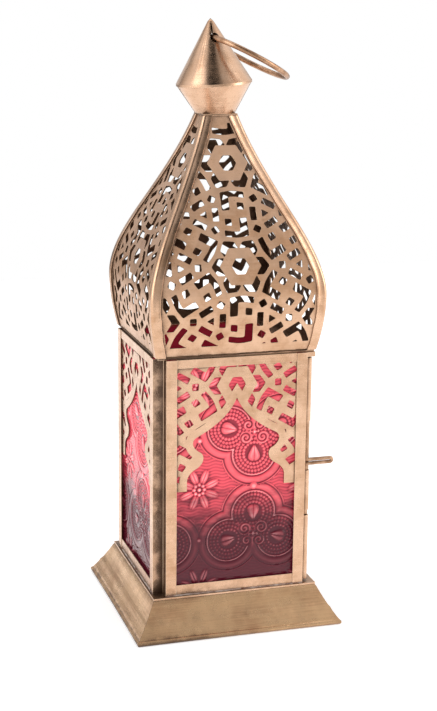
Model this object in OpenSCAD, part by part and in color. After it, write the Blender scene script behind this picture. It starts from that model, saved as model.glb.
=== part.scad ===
// Square candle lantern: flared base, four glazed faces with pierced arch screens,
// a hinged door with a sliding wire bolt, a pierced onion dome and a conical finial with a ring.
// Frame: origin at the centre of the base on the table, +Z up, front face towards -Y, door towards +X.

/* [Body] */
// Distance between the outer faces of two opposite frames
body_w = 69; // [62:0.5:84]
// Depth of the notch at each corner of the body
notch_depth = 4.5; // [4.2:0.1:6]
// Height of the glazed body, from the ledge to the eaves
body_h = 100.5; // [82:0.5:125]
// Width of the frame's lip at the sides
lip_w = 4.5; // [3.5:0.1:6]
// Height of the frame's lip at the top
lip_top = 3.6; // [3:0.1:5]
// Height of the frame's lip at the bottom
lip_bottom = 4.5; // [3.5:0.1:6]
// Thickness of the folded brass sheet
sheet_t = 0.5; // [0.4:0.05:0.6]
// How far the rails sit behind the posts' lips
rail_step = 0.25; // [0.1:0.05:0.4]

/* [Glazing] */
// Thickness of a glass pane
glass_t = 1.6; // [1.2:0.1:2]
// Gap round a pane, at each side
pane_gap = 0.3; // [0.2:0.05:0.6]
// Thickness of the pierced screens
screen_t = 0.5; // [0.4:0.05:0.6]
// Width and height of a bent glazing clip
clip_size = 3.2; // [2.5:0.1:4]

/* [Arch] */
// Depth of the arch's tip below the eaves
arch_tip_drop = 17.2; // [12:0.1:24]
// Depth of the screen's feet below the eaves
arch_foot_drop = 55.6; // [46:0.1:64]
// Width of a screen's foot, from the notch to the arch
arch_foot_w = 9; // [8:0.1:12]
// Width of the plain border along the arch
arch_border = 3.2; // [2.5:0.1:4]

/* [Pierced pattern] */
// Distance between the centres of two neighbouring rosettes
rosette_pitch = 43.6; // [38:0.1:50]
// Radius of the hexagon in the middle of a rosette
rosette_hole_r = 3.9; // [3:0.1:4.5]
// Width of the longer slots
slot_w = 2.6; // [2:0.1:3]
// Side of the small square holes
square_hole = 2.8; // [2:0.1:3.2]

/* [Base] */
// How far the base spreads beyond the ledge, at each side
base_flare = 9; // [6:0.5:14]
// How far the ledge stands out from the body, at each side
ledge_step = 1; // [0.5:0.1:2]
// Height of the ledge's top face
base_h = 16.7; // [12:0.1:22]
// Thickness of the base plates and of the ledge
base_t = 0.8; // [0.6:0.1:1.2]
// Diameter of the rolled hem
hem_d = 2.2; // [1.6:0.1:3]
// Depth of the flange under the ledge
base_flange = 5; // [3:0.5:8]

/* [Candle cup] */
// Inner radius of the cup, for a 39 mm tealight
cup_r = 20.1; // [19.8:0.1:24]
// Depth of the cup
cup_depth = 5.7; // [4:0.1:9]

/* [Dome] */
// Height of the dome above the eaves plate
dome_h = 93.3; // [80:0.5:112]
// How far the dome's foot is set in from the body's faces
dome_set_in = 1.1; // [0.6:0.1:2]
// How far the belly bulges beyond the foot, at each side
dome_bulge = 2.8; // [1:0.1:5]
// How far the crown is set in from the collar's outside
crown_set_in = 1.05; // [0.8:0.05:1.5]
// Thickness of the dome sheets, measured level
dome_t = 0.6; // [0.5:0.05:0.9]
// Plain margin beside a rib
dome_margin = 4.2; // [3.2:0.1:6]
// Width of a rib's flange
rib_w = 2.5; // [1.8:0.1:3.2]
// Thickness of a rib
rib_t = 0.8; // [0.6:0.1:1]
// Thickness of the eaves plate
eaves_t = 1; // [0.8:0.1:1.4]
// Width of the eaves plate round its vent
eaves_rim = 7.2; // [5:0.1:12]

/* [Finial] */
// Thickness of the crown plate
crown_t = 0.8; // [0.6:0.1:1.2]
// Radius at the bottom of the collar
collar_r = 7.85; // [7:0.05:9]
// Radius of the finial's rim
rim_r = 15.6; // [13:0.1:17]
// Height of the collar
collar_h = 11.6; // [9:0.1:14]
// Height of the cone above the rim
cone_h = 26.3; // [22:0.1:32]
// Wall of the finial
finial_t = 0.6; // [0.5:0.05:0.9]
// Tilt of the finial towards -X
finial_lean = 4; // [0:0.5:5]

/* [Ring] */
// Radius of the ring's wire
ring_wire_r = 1.1; // [0.9:0.05:1.3]
// Radius of the ring, at the middle of its wire
ring_r = 17.9; // [17:0.1:19]
// Gap between the wire and the hole in the cone
ring_gap = 0.8; // [0.65:0.05:1]
// Angle of the ring at rest, below level
ring_rest = 27; // [20:1:30]

/* [Door] */
// Gap between the door and the body round it
door_gap = 0.2; // [0.15:0.05:0.4]
// Gap between the door and the base's ledge
door_lift = 1.9; // [1.5:0.1:3]

/* [Hinge] */
// Radius of the hinge pin
pin_r = 0.8; // [0.7:0.05:0.9]
// Running clearance of the knuckles on the pin
pin_clearance = 0.05; // [0.03:0.01:0.1]
// Radius of the hinge knuckles
knuckle_r = 1.55; // [1.4:0.05:1.6]
// Length of one knuckle
knuckle_l = 4.8; // [4:0.1:6]

/* [Bolt] */
// Radius of the bolt's wire
bolt_r = 0.75; // [0.6:0.05:0.8]
// Clearance of the bolt in its guides
bolt_clearance = 0.2; // [0.15:0.05:0.3]
// Wall of the guide tubes
guide_t = 0.5; // [0.4:0.05:0.6]
// Distance of the bolt's handle from the bolt's own axis
handle_l = 12.2; // [9:0.1:12.4]
// Travel of the bolt below its rest position
bolt_down = 2; // [1:0.1:3]

/* [Hidden] */
$fn = 48;

metal = "#c39a72";
metal_dark = "#a37a52";
wire_metal = "#8a6240";
glass_red = "#c02a45";

// Number of straight steps in each length of a curve
curve_steps = 9;
// A length longer than the lantern, for cutting prisms
far = 200;

// Levels
ledge_z = base_h;
eaves_z = ledge_z + body_h;
dome_z = eaves_z + eaves_t;
crown_z = dome_z + dome_h;
seat_z = crown_z + crown_t;

// Planes, as distances from the middle
face = body_w / 2;
notch = face - notch_depth;
rail_face = face - rail_step;
screen_face = rail_face - sheet_t;
glass_face = screen_face - screen_t;
clip_face = glass_face - glass_t;
pane_half = notch - sheet_t - pane_gap;

// Base, dome and arch, from the body
ledge_w = body_w + 2 * ledge_step;
base_w = ledge_w + 2 * base_flare;
dome_foot = face - dome_set_in;
dome_belly = dome_foot + dome_bulge;
dome_crown_half = collar_r - crown_set_in;
eaves_half = dome_foot - 0.2;
vent_half = eaves_half - eaves_rim;
arch_tip = eaves_z - arch_tip_drop;
arch_foot = eaves_z - arch_foot_drop;
arch_half = notch - arch_foot_w;

// Door, lying in the notch's plane at its back
door_back = notch + door_gap;
door_half = notch - door_gap / 2;
door_z0 = ledge_z + door_lift;
header_h = 2;
door_z1 = eaves_z - header_h - 0.6;
door_face = door_back + 2 * sheet_t + glass_t + screen_t;
door_screen_face = door_face - sheet_t;
door_glass_face = door_screen_face - screen_t;
door_clip_face = door_back + sheet_t;
door_pane_half = door_half - sheet_t - pane_gap;

// Bolt, in the front right notch
guide_bore = bolt_r + bolt_clearance;
guide_r = guide_bore + guide_t;
bolt_x = notch + guide_r;
bolt_y = -(door_half + guide_r + 0.1);
keeper_z0 = ledge_z + 0.9;
keeper_z1 = ledge_z + 0.292 * body_h;
tip_gap = 0.4;
guide_lower_z0 = keeper_z1 + 2.4;
guide_lower_z1 = guide_lower_z0 + 17.4;
wire_pitch = 2 * bolt_r + 0.2;
handle_z = guide_lower_z1 + bolt_down + bolt_r + wire_pitch / 2;
bolt_up = 16;
guide_upper_z0 = handle_z + wire_pitch / 2 + bolt_r + bolt_up + 0.4;
guide_upper_z1 = door_z1 - 0.2;
bolt_top_z = guide_upper_z0 + 8;

// Hinge, in the back right notch
hinge_x = notch + 0.65 + knuckle_r;
hinge_y = door_half + 0.25 + knuckle_r;
hinge_zs = [ledge_z + 0.09 * body_h, door_z1 - 0.09 * body_h - 3 * knuckle_l];
knuckle_gap = 0.15;

// Finial and ring, in the finial's own frame with its datum at the seat
seat_sink = 0.7;
rim_h = 0.9;
tip_r = 1.25;
ring_pivot_h = seat_sink + collar_h + cone_h - 7.6;
ring_hole_r = ring_wire_r + ring_gap;
ring_offset = ring_r - 0.3;
ring_pivot = [-ring_pivot_h * sin(finial_lean), 0, seat_z - seat_sink + ring_pivot_h * cos(finial_lean)];

// A point of a cubic curve
function bezier(p, t) = pow(1 - t, 3) * p[0] + 3 * pow(1 - t, 2) * t * p[1]
    + 3 * (1 - t) * t * t * p[2] + t * t * t * p[3];
// The points of a chain of cubic curves
function chain(curves, n = curve_steps) = concat([curves[0][0]],
    [for (c = curves) for (i = [1 : n]) bezier(c, i / n)]);
function mirrored(points) = [for (i = [len(points) - 1 : -1 : 0]) [-points[i][0], points[i][1]]];

// Dome profile: half width against height above the eaves plate
shoulder = (dome_belly - dome_crown_half) * 0.605 + dome_crown_half;
dome_profile = chain([
    [[dome_foot, 0], [dome_foot + 1.2, 0.06 * dome_h], [dome_belly, 0.14 * dome_h], [dome_belly, 0.245 * dome_h]],
    [[dome_belly, 0.245 * dome_h], [dome_belly, 0.357 * dome_h], [shoulder + 5.4, 0.486 * dome_h],
        [shoulder, 0.593 * dome_h]],
    [[shoulder, 0.593 * dome_h], [shoulder - 6, 0.712 * dome_h], [dome_crown_half + 4.6, 0.853 * dome_h],
        [dome_crown_half, dome_h]]]);
profile_n = len(dome_profile);
// Length along the profile from the eaves to each of its points
profile_s = [for (i = 0, s = 0; i < profile_n;
    s = s + (i + 1 < profile_n ? norm(dome_profile[i + 1] - dome_profile[i]) : 0), i = i + 1) s];
dome_length = profile_s[profile_n - 1];
function step_at(s) = max([0, for (i = [0 : profile_n - 2]) if (profile_s[i] <= s) i]);
function along(s) = let (i = step_at(s), d = dome_profile[i + 1] - dome_profile[i])
    dome_profile[i] + d * (s - profile_s[i]) / norm(d);
function slope(s) = let (i = step_at(s), d = dome_profile[i + 1] - dome_profile[i]) atan2(-d[0], d[1]);

// Rosette lattice: three directions, sixty degrees apart
lattice_a = rosette_pitch * [cos(30), sin(30)];
lattice_b = rosette_pitch * [0, 1];

// A hole is [kind, x, y, turn]; one rosette's own share of the pattern
function rosette(c) = concat(
    [["hexagon", c[0], c[1], 0]],
    [for (k = [0 : 5]) ["chevron", c[0], c[1], 60 * k]],
    [for (k = [0 : 2], side = [0, 180]) let (m = c + rosette_pitch / 2 * [cos(30 + 60 * k), sin(30 + 60 * k)])
        ["ell", m[0], m[1], 60 * k + 30 + side]],
    [for (k = [0 : 1]) let (m = c + rosette_pitch / sqrt(3) * [cos(60 * k), sin(60 * k)])
        ["triangle", m[0], m[1], 60 * (1 - k)]]);
function pattern(c, reach) = [for (i = [-reach : reach], j = [-2 * reach : 2 * reach])
    each rosette(c + i * lattice_a + j * lattice_b)];

// The shapes of the holes, about the middle of their tile
module ell_holes() {
    arm = 0.225 * rosette_pitch;
    far_edge = -0.217 * rosette_pitch;
    translate([far_edge, -arm / 2]) square([slot_w, arm]);
    translate([far_edge, -arm / 2]) square([0.186 * rosette_pitch, slot_w + 0.5]);
    translate([far_edge + 0.119 * rosette_pitch, 0.06 * rosette_pitch - square_hole / 2 + 0.3]) square(square_hole);
}
module chevron_hole() {
    apex = 0.272 * rosette_pitch;
    arm = 0.094 * rosette_pitch;
    depth = slot_w * 1.2;
    for (side = [-1, 1])
        polygon([[apex, 0], [apex - arm * sin(30), side * arm * cos(30)],
            [apex - arm * sin(30) - depth, side * arm * cos(30)], [apex - depth, 0]]);
}
module triangle_holes() {
    rotate(0) circle(r = 0.044 * rosette_pitch, $fn = 3);
    for (k = [0 : 2]) rotate(120 * k) {
        translate([-0.108 * rosette_pitch - slot_w / 2, -0.072 * rosette_pitch])
            square([slot_w, 0.144 * rosette_pitch]);
        translate([0.184 * rosette_pitch, 0]) square(square_hole * 0.92, center = true);
    }
}
module hole(h) {
    translate([h[1], h[2]]) rotate(h[3]) {
        if (h[0] == "hexagon") circle(r = rosette_hole_r, $fn = 6);
        if (h[0] == "chevron") chevron_hole();
        if (h[0] == "ell") ell_holes();
        if (h[0] == "triangle") triangle_holes();
    }
}

// Turns a piece of the front face to face k: 0 front, 1 right, 2 back, 3 left
module to_face(k) rotate(90 * k) children();
// A prism along X from a section in the Y-Z plane
module along_x(length) rotate([90, 0, 90]) linear_extrude(length, center = true) children();
// A plate in the X-Z plane whose outer face is at the given distance from the middle
module upright(out, t) translate([0, t - out, 0]) rotate([90, 0, 0]) linear_extrude(t) children();
// The part of the plan that belongs to the front face, short of the mitre by a gap
module mitre(gap) translate([0, 0, -far / 2]) linear_extrude(2 * far)
    polygon([[0, -gap], [-far, -far - gap], [far, -far - gap]]);

// Base
module base_skirt(k) {
    top = ledge_z - base_t;
    half = ledge_w / 2;
    hem = base_w / 2 - hem_d / 2;
    color(metal) to_face(k) intersection() {
        along_x(base_w) {
            polygon([[-half + base_flange, top], [-half, top], [-hem - 0.5, hem_d * 0.75],
                [-hem + 0.3, hem_d / 2], [-half + 0.7, top - base_t], [-half + base_flange, top - base_t]]);
            translate([-hem, hem_d / 2]) circle(d = hem_d);
            translate([-hem - hem_d / 4, 0]) square([hem_d / 2, hem_d / 2]);
        }
        mitre(0.08);
    }
}
module floor_plate() color(metal) translate([0, 0, ledge_z - base_t / 2])
    cube([ledge_w, ledge_w, base_t], center = true);
module candle_cup() color(metal_dark) translate([0, 0, ledge_z]) difference() {
    cylinder(r = cup_r + sheet_t, h = cup_depth + sheet_t, $fn = 96);
    translate([0, 0, sheet_t]) cylinder(r = cup_r, h = cup_depth + 1, $fn = 96);
}

// Body: folded corner posts and rails
module post_left(front) color(metal) translate([0, 0, ledge_z]) linear_extrude(body_h) {
    i = notch - sheet_t;
    f = face - sheet_t;
    l = notch - lip_w;
    mirror([0, front ? 0 : 1]) polygon([[-l, -face], [-notch, -face], [-notch, -notch], [-face, -notch],
        [-face, -l], [-f, -l], [-f, -i], [-i, -i], [-i, -f], [-l, -f]]);
}
module post_right(front) color(metal) translate([0, 0, ledge_z]) linear_extrude(body_h) {
    i = notch - sheet_t;
    f = face - sheet_t;
    l = notch - lip_w;
    mirror([0, front ? 0 : 1]) polygon([[l, -face], [notch, -face], [notch, -l], [i, -l], [i, -f], [l, -f]]);
}
module rail_bottom(k) color(metal) to_face(k) along_x(2 * (notch - lip_w))
    polygon([[-rail_face, ledge_z], [sheet_t - notch, ledge_z], [sheet_t - notch, ledge_z + sheet_t],
        [-screen_face, ledge_z + sheet_t], [-screen_face, ledge_z + lip_bottom], [-rail_face, ledge_z + lip_bottom]]);
module rail_top(k) color(metal) to_face(k) along_x(2 * (notch - lip_w))
    polygon([[-rail_face, eaves_z], [sheet_t - notch, eaves_z], [sheet_t - notch, eaves_z - sheet_t],
        [-screen_face, eaves_z - sheet_t], [-screen_face, eaves_z - lip_top], [-rail_face, eaves_z - lip_top]]);
module door_sill() color(metal) translate([notch - sheet_t, lip_w - notch, ledge_z])
    cube([sheet_t, 2 * (notch - lip_w), lip_bottom]);
module door_header() color(metal) {
    translate([notch, -face + sheet_t, eaves_z - header_h])
        cube([door_face - notch + 0.2, 2 * (face - sheet_t), header_h]);
    translate([notch - sheet_t, lip_w - notch, eaves_z - lip_top])
        cube([sheet_t, 2 * (notch - lip_w), lip_top]);
}

// Glazing
module pane(out, half, z0, z1) upright(out, glass_t) translate([-half, z0]) square([2 * half, z1 - z0]);
module fixed_glass(k) color(glass_red) to_face(k)
    pane(glass_face, pane_half, ledge_z + sheet_t, eaves_z - sheet_t - pane_gap);
function arch_curve() = let (t = arch_tip, h = arch_half, r = arch_tip - arch_foot)
    chain([
        [[0, t], [0.124 * h, t - 0.169 * r], [0.405 * h, t - 0.3 * r], [0.81 * h, t - 0.411 * r]],
        [[0.81 * h, t - 0.411 * r], [0.933 * h, t - 0.445 * r], [0.9 * h, t - 0.536 * r], [0.724 * h, t - 0.583 * r]],
        [[0.724 * h, t - 0.583 * r], [0.648 * h, t - 0.61 * r], [0.638 * h, t - 0.698 * r], [0.79 * h, t - 0.75 * r]],
        [[0.79 * h, t - 0.75 * r], [0.914 * h, t - 0.784 * r], [0.986 * h, t - 0.823 * r], [h, t - 0.885 * r]]], 7);
module arch_opening() polygon(concat([[arch_half, arch_foot - 1]], [for (i = [28 : -1 : 1]) arch_curve()[i]],
    [[0, arch_tip]], [for (i = [1 : 28]) [-arch_curve()[i][0], arch_curve()[i][1]]], [[-arch_half, arch_foot - 1]]));
module fretwork(half, z1) {
    z0 = arch_foot;
    centre = [0, arch_tip + 5.2];
    window = notch - lip_w + 1;
    difference() {
        translate([-half, z0]) square([2 * half, z1 - z0]);
        arch_opening();
        intersection() {
            difference() {
                translate([-window, z0 + 3]) square([2 * window, z1 - z0 - 3.6]);
                offset(delta = arch_border) arch_opening();
            }
            mirror([1, 0]) for (h = pattern(centre, 2)) hole(h);
        }
    }
}
module fixed_screen(k) color(metal) to_face(k) upright(screen_face, screen_t)
    fretwork(pane_half, eaves_z - sheet_t - pane_gap);
module glazing_clips() color(metal_dark)
    for (k = [0, 2, 3], side = [-1, 1], z = [0.18, 0.78]) to_face(k)
        translate([side * (notch - sheet_t - clip_size / 2), sheet_t / 2 - clip_face, ledge_z + z * body_h])
            cube([clip_size, sheet_t, clip_size], center = true);

// Dome
module eaves_plate() color(metal_dark) translate([0, 0, eaves_z]) difference() {
    translate([-eaves_half, -eaves_half, 0]) cube([2 * eaves_half, 2 * eaves_half, eaves_t]);
    translate([-vent_half, -vent_half, -1]) cube([2 * vent_half, 2 * vent_half, eaves_t + 2]);
}
// A sheet that follows the dome's profile, from its outer face inwards
module dome_sheet(outer, t) along_x(3 * dome_belly) polygon(concat(
    [for (p = dome_profile) [-p[0] - outer, dome_z + p[1]]],
    [for (i = [profile_n - 1 : -1 : 0]) [-dome_profile[i][0] - outer + t, dome_z + dome_profile[i][1]]]));
// The flat outline within which a petal is pierced
pierced_half = [for (i = [0 : 2 : profile_n - 1]) [dome_profile[i][0] - dome_margin, profile_s[i]]];
module pierced_area() intersection() {
    polygon(concat(pierced_half, mirrored(pierced_half)));
    translate([-far / 2, 4]) square([far, dome_length - 7]);
}
module petal_holes() {
    for (h = pattern([0, 0.365 * dome_length], 2))
        if (h[2] > 0 && h[2] < dome_length && abs(h[1]) < along(h[2])[0] + 3)
            translate([0, -along(h[2])[0], dome_z + along(h[2])[1]]) rotate([90 - slope(h[2]), 0, 0])
                translate([0, -h[2], -4]) linear_extrude(8) intersection() {
                    hole(h);
                    pierced_area();
                }
}
module dome_petal(k) color(metal) to_face(k) difference() {
    intersection() {
        dome_sheet(0, dome_t);
        mitre(0.05);
    }
    petal_holes();
}
module rib_side() intersection() {
    dome_sheet(rib_t, rib_t);
    translate([0, 0, dome_z]) linear_extrude(dome_h)
        polygon([[0, 0], [-far, -far], [rib_w - far, -far], [rib_w, 0]]);
}
module rib(k) color(metal) to_face(k) {
    rib_side();
    mirror([1, -1, 0]) rib_side();
}
module dome_crown() color(metal_dark) translate([0, 0, crown_z + crown_t / 2])
    cube([2 * dome_crown_half + 0.8, 2 * dome_crown_half + 0.8, crown_t], center = true);

// Finial
module leaning() translate([0, 0, seat_z - seat_sink]) rotate([0, -finial_lean, 0]) children();
module finial_collar() color(metal) difference() {
    leaning() rotate_extrude($fn = 72)
        polygon([[collar_r - finial_t, 0], [collar_r, 0], [rim_r - 0.3, seat_sink + collar_h],
            [rim_r - 0.3 - finial_t, seat_sink + collar_h]]);
    translate([-far / 2, -far / 2, seat_z - 10]) cube([far, far, 10]);
}
module finial_cone() color(metal) leaning() {
    z0 = seat_sink + collar_h;
    z1 = z0 + cone_h;
    difference() {
        rotate_extrude($fn = 72)
            polygon([[rim_r - 1, z0], [rim_r, z0], [rim_r, z0 + rim_h], [tip_r, z1 - tip_r], [0, z1],
                [0, z1 - 2.2], [rim_r - 1, z0 + rim_h - 0.2]]);
        translate([0, 0, ring_pivot_h]) rotate([90, 0, 0])
            cylinder(r = ring_hole_r, h = 2 * rim_r, center = true, $fn = 32);
        rotate(-100) translate([0.5, -0.3, z1 - 8]) cube([rim_r, 0.6, 6]);
    }
}
module hanging_ring() color(wire_metal) translate(ring_pivot) rotate([0, ring_rest, 0])
    translate([ring_offset, 0, 0]) rotate_extrude($fn = 72) translate([ring_r, 0]) circle(r = ring_wire_r, $fn = 24);

// Door
module door_frame() color(metal) difference() {
    translate([door_back, -door_half, door_z0])
        cube([door_face - door_back, 2 * door_half, door_z1 - door_z0]);
    translate([door_back - 1, sheet_t - door_half, door_z0 + sheet_t])
        cube([door_face - door_back + 1 - sheet_t, 2 * (door_half - sheet_t), door_z1 - door_z0 - 2 * sheet_t]);
    translate([door_back, lip_w - door_half, door_z0 + lip_w])
        cube([far, 2 * (door_half - lip_w), door_z1 - door_z0 - 2 * lip_w]);
}
module glass_door() color(glass_red) to_face(1)
    pane(door_glass_face, door_pane_half, door_z0 + sheet_t, door_z1 - sheet_t - pane_gap);
module screen_door() color(metal) to_face(1) upright(door_screen_face, screen_t)
    fretwork(door_pane_half, door_z1 - sheet_t - pane_gap);
module door_clips() color(metal_dark)
    for (side = [-1, 1], z = [0.18, 0.78])
        translate([door_back + sheet_t / 2, side * (door_half - sheet_t - clip_size / 2), ledge_z + z * body_h])
            cube([sheet_t, clip_size, clip_size], center = true);

// Hinge
module knuckle(z) translate([hinge_x, hinge_y, z]) cylinder(r = knuckle_r, h = knuckle_l - knuckle_gap);
module knuckle_bore(z, r) translate([hinge_x, hinge_y, z - 1]) cylinder(r = r, h = knuckle_l + 2);
module hinge_post_knuckles() color(metal) for (z = hinge_zs, i = [0, 2]) let (z0 = z + i * knuckle_l) difference() {
    union() {
        knuckle(z0);
        translate([notch, hinge_y - knuckle_r, z0])
            cube([hinge_x - notch, 2 * knuckle_r, knuckle_l - knuckle_gap]);
    }
    knuckle_bore(z0, pin_r + pin_clearance);
}
module hinge_door_knuckles() color(metal) for (z = hinge_zs) let (z0 = z + knuckle_l) difference() {
    union() {
        knuckle(z0);
        translate([hinge_x - knuckle_r, door_half, z0])
            cube([2 * knuckle_r - 0.5, hinge_y - door_half, knuckle_l - knuckle_gap]);
    }
    knuckle_bore(z0, pin_r + pin_clearance);
}
module hinge_pins() color(wire_metal) for (z = hinge_zs) translate([hinge_x, hinge_y, z - 0.4]) {
    cylinder(r = pin_r, h = 3 * knuckle_l + 0.9);
    translate([0, 0, 3 * knuckle_l + 0.4 - knuckle_gap]) cylinder(r = pin_r + 0.4, h = 0.6);
}

// Bolt, its guides on the door and its keeper on the post
module guide_tube(z0, z1) difference() {
    union() {
        translate([bolt_x, bolt_y, z0]) cylinder(r = guide_r, h = z1 - z0);
        children();
    }
    translate([bolt_x, bolt_y, z0 - 1]) cylinder(r = guide_bore, h = z1 - z0 + 2);
}
module door_guide(z0, z1) color(metal) guide_tube(z0, z1)
    translate([bolt_x - 0.8, bolt_y, z0]) cube([1.8, -door_half - bolt_y, z1 - z0]);
module guide_upper() door_guide(guide_upper_z0, guide_upper_z1);
module guide_lower() door_guide(guide_lower_z0, guide_lower_z1);
module bolt_keeper() color(metal) guide_tube(keeper_z0, keeper_z1)
    translate([notch, bolt_y - 0.8, keeper_z0]) cube([guide_r, 1.6, keeper_z1 - keeper_z0]);
module latch_bolt() color(wire_metal) translate([bolt_x, bolt_y, 0]) {
    low = handle_z - wire_pitch / 2;
    high = handle_z + wire_pitch / 2;
    translate([0, 0, keeper_z1 + tip_gap]) cylinder(r = bolt_r, h = low - keeper_z1 - tip_gap, $fn = 24);
    translate([0, 0, high]) cylinder(r = bolt_r, h = bolt_top_z - high, $fn = 24);
    for (z = [low, high]) translate([0, 0, z]) {
        sphere(r = bolt_r, $fn = 24);
        rotate([0, 90, 0]) cylinder(r = bolt_r, h = handle_l - bolt_r - wire_pitch / 2, $fn = 24);
    }
    translate([handle_l - bolt_r - wire_pitch / 2, 0, handle_z]) rotate([90, 90, 0])
        rotate_extrude(angle = 180, $fn = 48) translate([wire_pitch / 2, 0]) circle(r = bolt_r, $fn = 24);
}

base_skirt(0);  // base_skirt_front
base_skirt(1);  // base_skirt_right
base_skirt(2);  // base_skirt_back
base_skirt(3);  // base_skirt_left
floor_plate();
candle_cup();
post_left(true);  // post_front_left
post_left(false);  // post_back_left
post_right(true);  // post_front_right
post_right(false);  // post_back_right
rail_bottom(0);  // rail_bottom_front
rail_bottom(2);  // rail_bottom_back
rail_bottom(3);  // rail_bottom_left
rail_top(0);  // rail_top_front
rail_top(2);  // rail_top_back
rail_top(3);  // rail_top_left
door_sill();
door_header();
fixed_glass(0);  // glass_front
fixed_glass(2);  // glass_back
fixed_glass(3);  // glass_left
fixed_screen(0);  // screen_front
fixed_screen(2);  // screen_back
fixed_screen(3);  // screen_left
glazing_clips();
eaves_plate();
dome_petal(0);  // dome_front
dome_petal(1);  // dome_right
dome_petal(2);  // dome_back
dome_petal(3);  // dome_left
rib(0);  // rib_front_left
rib(1);  // rib_front_right
rib(2);  // rib_back_right
rib(3);  // rib_back_left
dome_crown();
finial_collar();
finial_cone();
hanging_ring();
bolt_keeper();
hinge_post_knuckles();
hinge_pins();
door_frame();
glass_door();
screen_door();
door_clips();
hinge_door_knuckles();
guide_upper();
guide_lower();
latch_bolt();
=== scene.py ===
"""Pierced brass candle lantern with embossed red glass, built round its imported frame."""
import math

import bmesh
import bpy
import numpy as np
from mathutils import Matrix, Quaternion, Vector


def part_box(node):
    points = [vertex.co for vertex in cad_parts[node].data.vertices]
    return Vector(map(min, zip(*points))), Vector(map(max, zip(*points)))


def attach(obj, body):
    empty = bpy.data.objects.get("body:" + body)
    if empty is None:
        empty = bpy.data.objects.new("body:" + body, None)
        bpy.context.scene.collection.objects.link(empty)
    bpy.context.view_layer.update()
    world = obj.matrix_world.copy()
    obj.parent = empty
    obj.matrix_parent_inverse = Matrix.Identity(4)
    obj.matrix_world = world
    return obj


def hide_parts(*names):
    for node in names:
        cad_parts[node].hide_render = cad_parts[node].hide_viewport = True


bl_info = {
    "name": "Pierced Candle Lantern",
    "version": (1, 0, 0),
    "blender": (4, 5, 0),
    "location": "View3D > Sidebar > Lantern",
    "description": "Builds a brass candle lantern with a pierced dome and embossed red glass",
    "category": "Object",
}

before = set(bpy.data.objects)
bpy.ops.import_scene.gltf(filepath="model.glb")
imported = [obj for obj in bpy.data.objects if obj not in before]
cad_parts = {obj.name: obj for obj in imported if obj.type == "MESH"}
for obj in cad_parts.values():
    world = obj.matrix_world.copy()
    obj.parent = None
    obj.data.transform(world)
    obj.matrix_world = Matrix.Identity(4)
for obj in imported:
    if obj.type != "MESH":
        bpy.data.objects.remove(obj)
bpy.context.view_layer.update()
MM = 0.001
FACES = ("front", "right", "back", "left")
CORNERS = ("front_left", "front_right", "back_right", "back_left")

# Levels and planes of the frame, in metres
LEDGE_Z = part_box("floor_plate")[1].z
DOME_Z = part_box("dome_front")[0].z
CROWN_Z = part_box("dome_front")[1].z
DOME_H = CROWN_Z - DOME_Z
DOME_BELLY = -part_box("dome_front")[0].y
DOME_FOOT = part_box("eaves_plate")[1].x + 0.2 * MM
DOME_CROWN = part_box("dome_crown")[1].x - 0.4 * MM
BASE_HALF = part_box("base_skirt_right")[1].x
LEDGE_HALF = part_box("floor_plate")[1].x
# Names of the four sides in the frame, where the right one is the door
SIDES = ("front", "door", "back", "left")
# How far the bars round a rosette bow towards its middle, as a share of their distance from it
ARC_BEND = 0.035
# Level under which the red of the panes deepens: painted shade for the dark inside seen through them
GLASS_SHADE_Z = LEDGE_Z + 52 * MM
# Arch of the screens: the level of its tip, its half width, and the rosette's height above the tip
ARCH_TIP_Z = LEDGE_Z + 83.3 * MM
ARCH_HALF = 21 * MM
ARCH_ROSETTE_RISE = 5.4 * MM
# Plain band of a screen at its sides, its foot and its top
SCREEN_SIDE, SCREEN_FOOT, SCREEN_TOP = 3.5 * MM, 3 * MM, 0.9 * MM
# Middle rosette of a petal: beside the centre line, and up the petal as a share of its length
PETAL_ROSETTE_X, PETAL_ROSETTE_SHARE = 0.8 * MM, 0.365
# Width of the worn edge on a piece that keeps its CAD shape
EDGE_WEAR = 0.12 * MM


# ---------------------------------------------------------------- properties

class LanternSizes(bpy.types.PropertyGroup):
    """Sizes of the details that the frame leaves plain"""

    pitch: bpy.props.FloatProperty(
        name="Rosette pitch", description="Distance between two neighbouring rosettes",
        default=43.6 * MM, min=0.03, max=0.06, unit="LENGTH")
    corner: bpy.props.FloatProperty(
        name="Hole corner", description="Rounding of the pierced holes' corners",
        default=0.55 * MM, min=0.0, max=0.001, unit="LENGTH")
    sheet: bpy.props.FloatProperty(
        name="Sheet", description="Thickness of the pierced sheets",
        default=0.5 * MM, min=0.0003, max=0.0008, unit="LENGTH")
    rim_wear: bpy.props.FloatProperty(
        name="Rim wear", description="Width of the worn rim round each hole",
        default=0.14 * MM, min=0.00005, max=0.0003, unit="LENGTH")
    dome_margin: bpy.props.FloatProperty(
        name="Dome margin", description="Plain margin of a petal beside its ribs",
        default=4.2 * MM, min=0.003, max=0.006, unit="LENGTH")
    arch_border: bpy.props.FloatProperty(
        name="Arch border", description="Plain border along the arch of a screen",
        default=3.2 * MM, min=0.002, max=0.004, unit="LENGTH")
    rib_width: bpy.props.FloatProperty(
        name="Rib flange", description="Width of a rib's flange on each petal",
        default=3.4 * MM, min=0.0015, max=0.004, unit="LENGTH")
    relief: bpy.props.FloatProperty(
        name="Glass relief", description="Height of the ornament pressed into the glass",
        default=0.62 * MM, min=0.0001, max=0.0008, unit="LENGTH")
    glass_cell: bpy.props.FloatProperty(
        name="Glass cell", description="Size of the mesh cells of a pane",
        default=0.29 * MM, min=0.0002, max=0.001, unit="LENGTH")


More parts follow.
